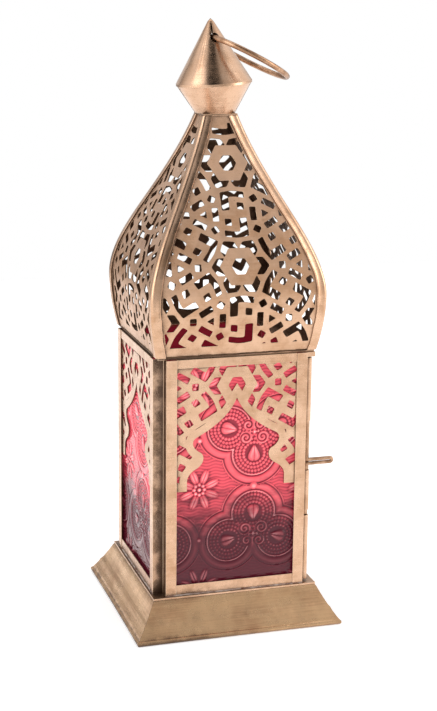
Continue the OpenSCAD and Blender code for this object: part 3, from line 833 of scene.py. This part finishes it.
def build_screens(context):
    """A screen in front of each pane, open under its arch and pierced above it."""
    sizes = context.scene.lantern_sizes
    kinds = finishes(context)
    tip_slope = 1.6
    for k, (face, side) in enumerate(zip(FACES, SIDES)):
        node = "screen_" + side
        low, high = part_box(node)
        half, plane = face_place(low, high, k)
        foot, top = low.z, high.z
        curve = arch_curve(ARCH_TIP_Z, foot, ARCH_HALF)
        arch = [tuple(p) for p in curve] + [(curve[-1][0], foot)]
        outline = [(-half, foot), (-half, top), (half, top), (half, foot)]
        outline += arch[::-1] + [(-x, y) for x, y in arch[1:]]
        window, sill, lintel = half - SCREEN_SIDE, foot + SCREEN_FOOT, top - SCREEN_TOP
        border = [p for p in beside(curve, sizes.arch_border, foot) if p[1] > sill]
        tip = (0, border[0][1] + border[0][0] * tip_slope)
        area = [(-window, sill), (-window, lintel), (window, lintel), (window, sill), (border[-1][0], sill)]
        area += border[::-1] + [tip] + [(-x, y) for x, y in border] + [(-border[-1][0], sill)]
        bm = pierce("screen", outline, area, (0.0, ARCH_TIP_Z + ARCH_ROSETTE_RISE), sizes, 3, 3, True,
                    np.linspace(foot, top, 38)[1:-1])
        upright = Matrix.Rotation(math.radians(90), 4, "X")
        bm.transform(quarter(k) @ Matrix.Translation((0, -plane, 0)) @ upright)
        piece = new_object("pierced_screen_" + face, to_mesh(bm, "screen"), kinds["brass_sheet"],
                           kinds["worn_edge"], kinds["brass_inner"])
        stands_for(piece, "door" if side == "door" else "body", "brass_sheet", node)


# ---------------------------------------------------------------- glass

def ridge(distance, width):
    """A rounded ridge along the line where the distance is zero."""
    return np.clip(1 - (distance / width) ** 2, 0, None)


def dot(x, z, cx, cz, rx, rz):
    """A smooth raised button."""
    return np.clip(1 - ((x - cx) / rx) ** 2 - ((z - cz) / rz) ** 2, 0, None) ** 0.5


def trefoil(x, z):
    """Height and cover of one medallion with three beaded lobes, upright about the origin, in millimetres."""
    row_step, bead_step = 1.55, 1.45
    lobes = ((0.0, 8.6, 9.6), (-10.8, -2.6, 9.4), (10.8, -2.6, 9.4))
    reach = np.stack([np.hypot(x - cx, z - cz) - r for cx, cz, r in lobes])
    which = reach.argmin(axis=0)
    edge = reach.min(axis=0)
    height = 0.72 * ridge(edge - 2.0, 1.7) ** 0.6
    height = height + 0.75 * ridge(edge + 0.25, 0.42) + 0.6 * ridge(edge - 4.2, 0.4)
    for i, (cx, cz, r) in enumerate(lobes):
        far = np.hypot(x - cx, z - cz)
        turn = np.arctan2(z - cz, x - cx)
        row = np.round(far / row_step)
        beads = np.maximum(np.round(2 * np.pi * row * row_step / bead_step), 1)
        along = (turn / (2 * np.pi) * beads + 0.5 * row) % 1 - 0.5
        span = np.hypot(far - row * row_step, along * bead_step)
        bead = 0.5 * np.clip(1 - (span / 0.74) ** 2, 0, None) ** 0.7
        inside = (which == i) & (edge < -0.5) & (row >= 3)
        height = np.where(inside, bead, height)
        lean = math.atan2(-cz, -cx)
        a = (x - cx) * math.cos(lean) + (z - cz) * math.sin(lean)
        b = -(x - cx) * math.sin(lean) + (z - cz) * math.cos(lean)
        drop = np.clip(1 - (a / 3.6) ** 2 - (b / np.clip(2.3 - 0.42 * a, 0.3, None)) ** 2, 0, None) ** 0.5
        height = np.maximum(height, drop - 0.35 * ridge(b, 0.3) * (drop > 0.2))
    for side in (-1, 1):
        for cx, cz, r in ((3.6 * side, 1.8, 1.9), (2.6 * side, -3.6, 1.5)):
            far = np.hypot(x - cx, z - cz)
            curl = (far / 1.5 - side * np.arctan2(z - cz, x - cx) / (2 * np.pi)) % 1 - 0.5
            height = np.where(far < r + 0.9, 0.62 * ridge(curl, 0.44), height)
    height = np.maximum(height, 0.9 * np.clip(1 - np.abs(x) / 1.3 - np.abs(z + 0.6) / 1.9, 0, None) ** 0.6)
    return height, edge < 4.6


def flower(x, z):
    """Height of an eight-petalled flower with a beaded heart."""
    far = np.hypot(x, z)
    height = np.zeros_like(x)
    for k in range(8):
        a = math.radians(45 * k + 22.5)
        out, off = x * math.cos(a) + z * math.sin(a), -x * math.sin(a) + z * math.cos(a)
        petal = np.clip(1 - ((out - 5.6) / 3.4) ** 2 - (off / 1.55) ** 2, 0, None) ** 0.5
        height = np.maximum(height, 0.75 * petal - 0.3 * ridge(off, 0.3) * (petal > 0))
    heart = dot(x, z, 0, 0, 0.9, 0.9)
    for k in range(8):
        a = math.radians(45 * k)
        heart = np.maximum(heart, dot(x, z, 2.2 * math.cos(a), 2.2 * math.sin(a), 0.85, 0.85))
    return np.where(far < 3.1, 0.25 + 0.7 * heart, height)


def ornament(x, z):
    """Height of the pressed pattern, 0 to 1, at places given in millimetres from the middle of the ledge."""
    across, rise = 47.0, 86.0
    wave = 0.07 * np.sin(2 * np.pi * (z + 0.35 * np.sin(0.9 * x)) / 1.35)
    height = 0.32 + wave
    for base, flip in ((24.4, 1), (67.4, -1)):
        for level in (-1, 0, 1):
            dx = (x - 8.0 + across / 2) % across - across / 2
            dz = (z - base - level * rise) * flip
            shape, cover = trefoil(dx, dz)
            height = np.where(cover, np.maximum(shape, 0.02), height)
    for level in range(-1, 3):
        dx = (x + 15.5 + across / 2) % across - across / 2
        dz = z - 44.8 - rise / 2 * level
        bloom = flower(dx, dz)
        height = np.where(np.hypot(dx, dz) < 2.9, bloom, np.where(bloom > 0.02, 0.25 + bloom, height))
        height = np.maximum(height, dot(np.abs(dx) - across / 2, dz, 0, 0, 1.9, 1.9))
        height = np.maximum(height, dot(dx, z - 22.8 - rise / 2 * level, 0, 0, 1.5, 1.3))
    return np.clip(height, 0, 1)


def blurred(field, reach):
    """The field averaged over a square round each place."""
    for axis in (0, 1):
        padded = np.pad(field, [(reach + 1, reach) if a == axis else (0, 0) for a in (0, 1)], mode="edge")
        total = padded.cumsum(axis=axis)
        size = field.shape[axis]
        upper = np.take(total, range(2 * reach + 1, 2 * reach + 1 + size), axis=axis)
        field = (upper - np.take(total, range(size), axis=axis)) / (2 * reach + 1)
    return field


def build_glass(context):
    """Four panes with the ornament pressed into their outer sides."""
    sizes = context.scene.lantern_sizes
    kinds = finishes(context)
    for k, side in enumerate(SIDES):
        node = "glass_" + side
        low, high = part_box(node)
        half, plane = face_place(low, high, k)
        thick = high.y - low.y if k % 2 == 0 else high.x - low.x
        columns = int(2 * half / sizes.glass_cell)
        rows = int((high.z - low.z) / sizes.glass_cell)
        x, z = np.meshgrid(np.linspace(-half, half, columns + 1), np.linspace(low.z, high.z, rows + 1))
        height = ornament(x / MM, (z - LEDGE_Z) / MM)
        crest = height - blurred(height, 5)
        rim = np.minimum(np.minimum(half - abs(x), z - low.z), high.z - z) < 0.1 * MM
        height[rim] = 0
        out = plane - sizes.relief * (1 - height)
        front = np.stack([x, -out, z], axis=-1).reshape(-1, 3)
        index = np.arange(front.shape[0]).reshape(x.shape)
        quads = np.stack([index[:-1, :-1], index[:-1, 1:], index[1:, 1:], index[1:, :-1]], axis=-1)
        corners = np.array([(-half, thick - plane, low.z), (half, thick - plane, low.z),
                            (half, thick - plane, high.z), (-half, thick - plane, high.z)])
        n = len(front)
        border = [list(index[0]), list(index[:, -1]), list(index[-1, ::-1]), list(index[::-1, 0])]
        walls = [[*map(int, run[::-1]), n + i, n + (i + 1) % 4] for i, run in enumerate(border)]
        faces = quads.reshape(-1, 4).tolist() + walls + [[n + 3, n + 2, n + 1, n]]
        mesh = bpy.data.meshes.new(node)
        mesh.from_pydata(np.vstack([front, corners]).tolist(), [], faces)
        tint = mesh.attributes.new("crest", "FLOAT", "POINT")
        # Painted light and shade for the glass: high on the ridges and raised parts, low in the grooves and
        # on the back corners.
        shade = 0.38 + 1.15 * crest.ravel() + 0.20 * height.ravel()
        tint.data.foreach_set("value", np.append(shade, [0.16] * 4))
        mesh.transform(quarter(k))
        mesh.shade_smooth()
        mesh.set_sharp_from_angle(angle=math.radians(70))
        piece = new_object("pressed_" + node, mesh, kinds["red_glass"])
        stands_for(piece, "door" if side == "door" else "body", "red_glass", node)


# ---------------------------------------------------------------- base

def skirt_profile():
    """Closed section of a base plate in the front face's plane: distance outwards and height."""
    top, t, hem = LEDGE_Z - 0.8 * MM, 0.7 * MM, 1.1 * MM
    half, foot = LEDGE_HALF, BASE_HALF - hem
    slope = []
    for t_along in np.linspace(0.06, 1, 12):
        out = half + (foot + 0.15 * MM - half) * t_along
        up = top + (2.15 * hem - top) * t_along
        crease = 0.22 * MM * math.exp(-((t_along - 0.66) / 0.035) ** 2)
        sag = -0.35 * MM * math.sin(math.pi * t_along) + crease
        slope.append((out + sag * 0.86, up + sag * 0.5))
    turns = np.radians(np.linspace(82, -230, 22))
    roll = [(foot + hem * math.cos(a), max(hem + hem * math.sin(a), 0.0)) for a in turns]
    fold = [(half - 5 * MM, top), (half - 0.5 * MM, top), (half - 0.15 * MM, top - 0.08 * MM)]
    under = [(foot - 0.6 * MM, 2.3 * hem - 0.5 * MM), (half - 0.2 * MM, top - 1.6 * t),
             (half - 1.0 * MM, top - t), (half - 5 * MM, top - t)]
    return fold + slope + roll + under


def build_base(context):
    """Four flared plates with rolled hems, the floor plate and the candle cup."""
    kinds = finishes(context)
    section = skirt_profile()
    joint, hem_top = 0.06 * MM, 12 * MM
    for k, face in enumerate(FACES):
        sections = []
        for across in (-1, -0.5, 0, 0.5, 1):
            bow = 0.25 * MM * (1 - across * across)
            sections.append([(across * (out - joint), -out + (bow if z < hem_top else 0), z)
                             for out, z in section])
        bm = skinned(sections)
        bm.transform(quarter(k))
        piece = new_object("flared_skirt_" + face, to_mesh(bm, "skirt", 38.0), kinds["brass_skirt"])
        stands_for(piece, "body", "brass_sheet", "base_skirt_" + face)
    carry_over(kinds, ["floor_plate"], "body", "brass_sheet", "brass_sheet")
    # The candle cup takes the dark inner metal: soot, and painted shade for the unlit inside.
    carry_over(kinds, ["candle_cup"], "body", "brass_sheet", "brass_inner")


# ---------------------------------------------------------------- body, door and finial

def build_body(context):
    """Posts, rails and plates, the glazing clips and the hinge pins."""
    kinds = finishes(context)
    plates = ["post_" + corner for corner in CORNERS]
    plates += ["door_sill", "door_header", "eaves_plate", "dome_crown", "hinge_post_knuckles", "bolt_keeper"]
    for level in ("bottom", "top"):
        plates += ["rail_" + level + "_" + face for face in ("front", "back", "left")]
    carry_over(kinds, plates, "body", "brass_sheet", "brass_sheet")
    # The clips take the dark inner metal, which carries painted shade for the inside.
    carry_over(kinds, ["glazing_clips"], "body", "brass_inner", "brass_inner")
    carry_over(kinds, ["hinge_pins"], "body", "brass_wire", "ring_wire")


def bead_tree():
    """A lumpy bead of solder along the edges of a mesh."""
    g, given = new_tree("Solder bead", "Bead", (
        ("Line", "Geometry"), ("Radius", "Float"), ("Wobble", "Float"), ("Metal", "Material")))
    line = g.node("GeometryNodeMeshToCurve", None, {0: given["Line"]})
    ring = g.node("GeometryNodeCurvePrimitiveCircle", None, {"Resolution": 8, "Radius": given["Radius"]})
    bead = g.node("GeometryNodeCurveToMesh", None, {"Curve": line, "Profile Curve": ring, "Fill Caps": True})
    lumps = g.node("ShaderNodeTexNoise", None, {"Scale": 420.0, "Detail": 2.0}, "Color")
    centred = g.node("ShaderNodeVectorMath", {"operation": "SUBTRACT"}, {0: lumps, 1: (0.5, 0.5, 0.5)})
    shift = g.node("ShaderNodeVectorMath", {"operation": "SCALE"}, {0: centred, "Scale": given["Wobble"]})
    bead = g.node("GeometryNodeSetPosition", None, {"Geometry": bead, "Offset": shift})
    return end_tree(g, bead, given["Metal"])


def build_solder(context):
    """Beads along the foot of the body, but not under the door, and round the foot of the dome."""
    kinds = finishes(context)
    tree = bead_tree()
    lift, wobble, points = 0.05 * MM, 0.6 * MM, 90
    body = -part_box("rail_bottom_front")[0].y
    runs = [("body", k, body, LEDGE_Z + lift, 30 * MM, 0.42 * MM) for k in (0, 2, 3)]
    runs += [("dome", k, DOME_FOOT, DOME_Z + lift, DOME_FOOT - 1 * MM, 0.34 * MM) for k in range(4)]
    for place, k, out, up, half, radius in runs:
        across = np.linspace(-half, half, points)
        mesh = bpy.data.meshes.new("solder")
        mesh.from_pydata([(a, -out, up) for a in across], [(i, i + 1) for i in range(points - 1)], [])
        mesh.transform(quarter(k))
        # The beads round the dome's foot take the dark inner metal: a solder joint, darkened as a painted
        # shadow line under the dome.
        metal = kinds["solder" if place == "body" else "brass_inner"]
        bead = new_object("solder_" + place + "_" + FACES[k], mesh, metal)
        grown(bead, tree, {"Radius": radius, "Wobble": wobble, "Metal": metal})
        bead.data.shade_smooth()
        stands_for(bead, "body", "brass_sheet")


def build_door(context):
    """The door's frame, knuckles, guides and clips, and the bolt that slides in the guides."""
    kinds = finishes(context)
    plates = ["door_frame", "hinge_door_knuckles", "guide_upper", "guide_lower"]
    carry_over(kinds, plates, "door", "brass_sheet", "brass_sheet")
    # The clips take the dark inner metal, which carries painted shade for the inside.
    carry_over(kinds, ["door_clips"], "door", "brass_inner", "brass_inner")
    carry_over(kinds, ["latch_bolt"], "bolt", "brass_wire", "ring_wire", "ring_wire")


def build_finial(context):
    """The collar and the cone, and the ring that swings in the cone."""
    kinds = finishes(context)
    carry_over(kinds, ["finial_collar", "finial_cone"], "body", "brass_sheet", "brass_finial")
    carry_over(kinds, ["hanging_ring"], "ring", "brass_wire", "ring_wire", "ring_wire")


# ---------------------------------------------------------------- stage

def build_world():
    """A plain white background, and a studio that only the lantern sees.

    The studio is brightest at the sides, with a dark screen high in front.
    """
    world = bpy.data.worlds.new("Studio")
    bpy.context.scene.world = world
    world.use_nodes = True
    g = Graph(world.node_tree)
    world.node_tree.nodes.clear()
    way = g.node("ShaderNodeTexCoord", output="Generated")
    split = world.node_tree.nodes.new("ShaderNodeSeparateXYZ")
    g.put(split.inputs[0], way)
    x, y, z = (Socket(g, s) for s in split.outputs)
    left, right = (0 - x).step(0.35, 0.80), x.step(0.35, 0.80)
    behind, high = y.step(0.1, 0.9), z.step(0.42, 0.60)
    across = (x + 0.20) * (x + 0.20)
    screen = (1 - across.step(0.05, 0.14)) * (0 - y).step(0.2, 0.4) * high
    level = (0.60 + 0.60 * left + 0.60 * right - 0.32 * behind) * (1 - 0.98 * screen)
    through = g.node("ShaderNodeLightPath", output="Is Transmission Ray")
    level = level + 0.6 * through * (z + 0.15).step(0.0, 0.3)
    tint = g.mix(high, (1.0, 0.98, 0.96), (0.98, 0.98, 1.0))
    studio = g.node("ShaderNodeBackground", None, {"Color": tint, "Strength": level})
    white = g.node("ShaderNodeBackground", None, {"Color": (1, 1, 1), "Strength": 1.0})
    seen = g.node("ShaderNodeLightPath", output="Is Camera Ray")
    both = g.node("ShaderNodeMixShader", None, {0: seen, 1: studio, 2: white})
    g.put(world.node_tree.nodes.new("ShaderNodeOutputWorld").inputs["Surface"], both)


def add_lamp(name, place, aim, size, power, colour=(1, 1, 1)):
    """A soft square lamp that faces a point."""
    lamp = bpy.data.lights.new(name, "AREA")
    lamp.shape = "RECTANGLE"
    lamp.size, lamp.size_y = size
    lamp.energy = power
    lamp.color = colour
    made = bpy.data.objects.new(name, lamp)
    made.location = place
    made.rotation_mode = "QUATERNION"
    made.rotation_quaternion = (Vector(aim) - Vector(place)).to_track_quat("-Z", "Y")
    bpy.context.scene.collection.objects.link(made)


def build_camera():
    """A three-quarter view from the front left, slightly above the lantern."""
    azimuth, elevation, roll = math.radians(-17.176), math.radians(13.631), math.radians(0.628)
    distance, beside_axis, aim_z = 0.6553, 2.213 * MM, 109.677 * MM
    aim = Vector((beside_axis * math.cos(azimuth), beside_axis * math.sin(azimuth), aim_z))
    back = Vector((math.sin(azimuth) * math.cos(elevation), -math.cos(azimuth) * math.cos(elevation),
                   math.sin(elevation)))
    camera = bpy.data.objects.new("Camera", bpy.data.cameras.new("Camera"))
    camera.data.lens = 77.9
    camera.data.clip_start, camera.data.clip_end = 0.01, 50
    camera.location = aim + back * distance
    camera.rotation_mode = "QUATERNION"
    camera.rotation_quaternion = (-back).to_track_quat("-Z", "Y") @ Quaternion((0, 0, 1), roll)
    bpy.context.scene.collection.objects.link(camera)
    bpy.context.scene.camera = camera


def build_stage(context):
    """Background, camera, four soft lamps and the pale floor."""
    kinds = finishes(context)
    scene = context.scene
    scene.view_settings.view_transform = "Standard"
    build_world()
    build_camera()
    middle = (0, 0, 0.12)
    add_lamp("Left window", (-0.9, -0.25, 0.55), middle, (0.6, 0.9), 3.0, (1.0, 0.98, 0.95))
    add_lamp("Right window", (0.85, -0.45, 0.45), middle, (0.5, 0.9), 3.5, (1.0, 0.97, 0.93))
    add_lamp("Top light", (0.0, 0.25, 1.1), middle, (0.9, 0.6), 2.0)
    add_lamp("Back light", (0.1, 0.9, 0.5), middle, (1.0, 0.8), 1.2)
    bm = bmesh.new()
    bmesh.ops.create_grid(bm, x_segments=8, y_segments=8, size=0.75)
    floor = new_object("Floor", to_mesh(bm, "Floor"), kinds["floor"])


# ---------------------------------------------------------------- operators

class LANTERN_OT_stage(bpy.types.Operator):
    """Floor, studio, lamps and camera"""

    bl_idname = "lantern.stage"
    bl_label = "Stage"

    def execute(self, context):
        build_stage(context)
        return {"FINISHED"}


class LANTERN_OT_base(bpy.types.Operator):
    """Flared base with its rolled hem, floor plate and candle cup"""

    bl_idname = "lantern.base"
    bl_label = "Base"

    def execute(self, context):
        build_base(context)
        return {"FINISHED"}


class LANTERN_OT_body(bpy.types.Operator):
    """Corner posts, rails and plates"""

    bl_idname = "lantern.body"
    bl_label = "Body"

    def execute(self, context):
        build_body(context)
        return {"FINISHED"}


class LANTERN_OT_glass(bpy.types.Operator):
    """Four panes of pressed red glass"""

    bl_idname = "lantern.glass"
    bl_label = "Glass"

    def execute(self, context):
        build_glass(context)
        return {"FINISHED"}


class LANTERN_OT_screens(bpy.types.Operator):
    """Pierced arch screens in front of the panes"""

    bl_idname = "lantern.screens"
    bl_label = "Screens"

    def execute(self, context):
        build_screens(context)
        return {"FINISHED"}


class LANTERN_OT_petals(bpy.types.Operator):
    """Four pierced petals of the dome"""

    bl_idname = "lantern.petals"
    bl_label = "Petals"

    def execute(self, context):
        build_petals(context)
        return {"FINISHED"}


class LANTERN_OT_ribs(bpy.types.Operator):
    """Folded ribs over the dome's corners"""

    bl_idname = "lantern.ribs"
    bl_label = "Ribs"

    def execute(self, context):
        build_ribs(context)
        return {"FINISHED"}


class LANTERN_OT_finial(bpy.types.Operator):
    """Collar, cone and hanging ring"""

    bl_idname = "lantern.finial"
    bl_label = "Finial"

    def execute(self, context):
        build_finial(context)
        return {"FINISHED"}


class LANTERN_OT_solder(bpy.types.Operator):
    """Beads of solder at the foot of the body and of the dome"""

    bl_idname = "lantern.solder"
    bl_label = "Solder"

    def execute(self, context):
        build_solder(context)
        return {"FINISHED"}


class LANTERN_OT_door(bpy.types.Operator):
    """Door frame, hinge and sliding bolt"""

    bl_idname = "lantern.door"
    bl_label = "Door"

    def execute(self, context):
        build_door(context)
        return {"FINISHED"}


OPERATORS = [LANTERN_OT_stage, LANTERN_OT_base, LANTERN_OT_body, LANTERN_OT_glass, LANTERN_OT_screens,
             LANTERN_OT_petals, LANTERN_OT_ribs, LANTERN_OT_finial, LANTERN_OT_solder, LANTERN_OT_door]


class LANTERN_PT_parts(bpy.types.Panel):
    """Lists the lantern's operators"""

    bl_label = "Candle Lantern"
    bl_idname = "LANTERN_PT_parts"
    bl_space_type = "VIEW_3D"
    bl_region_type = "UI"
    bl_category = "Lantern"

    def draw(self, context):
        for operator in OPERATORS:
            self.layout.operator(operator.bl_idname)


CLASSES = [LanternSizes, LanternColours, *OPERATORS, LANTERN_PT_parts]


def register():
    """Registers the classes and gives the scene its sizes and colours."""
    for one in CLASSES:
        bpy.utils.register_class(one)
    bpy.types.Scene.lantern_sizes = bpy.props.PointerProperty(type=LanternSizes)
    bpy.types.Scene.lantern_colours = bpy.props.PointerProperty(type=LanternColours)


def unregister():
    """Takes away what register added."""
    del bpy.types.Scene.lantern_sizes
    del bpy.types.Scene.lantern_colours
    for one in reversed(CLASSES):
        bpy.utils.unregister_class(one)


def main():
    """Builds every piece in order."""
    register()
    for operator in OPERATORS:
        group, name = operator.bl_idname.split(".")
        getattr(getattr(bpy.ops, group), name)()


if __name__ == "__main__":
    main()
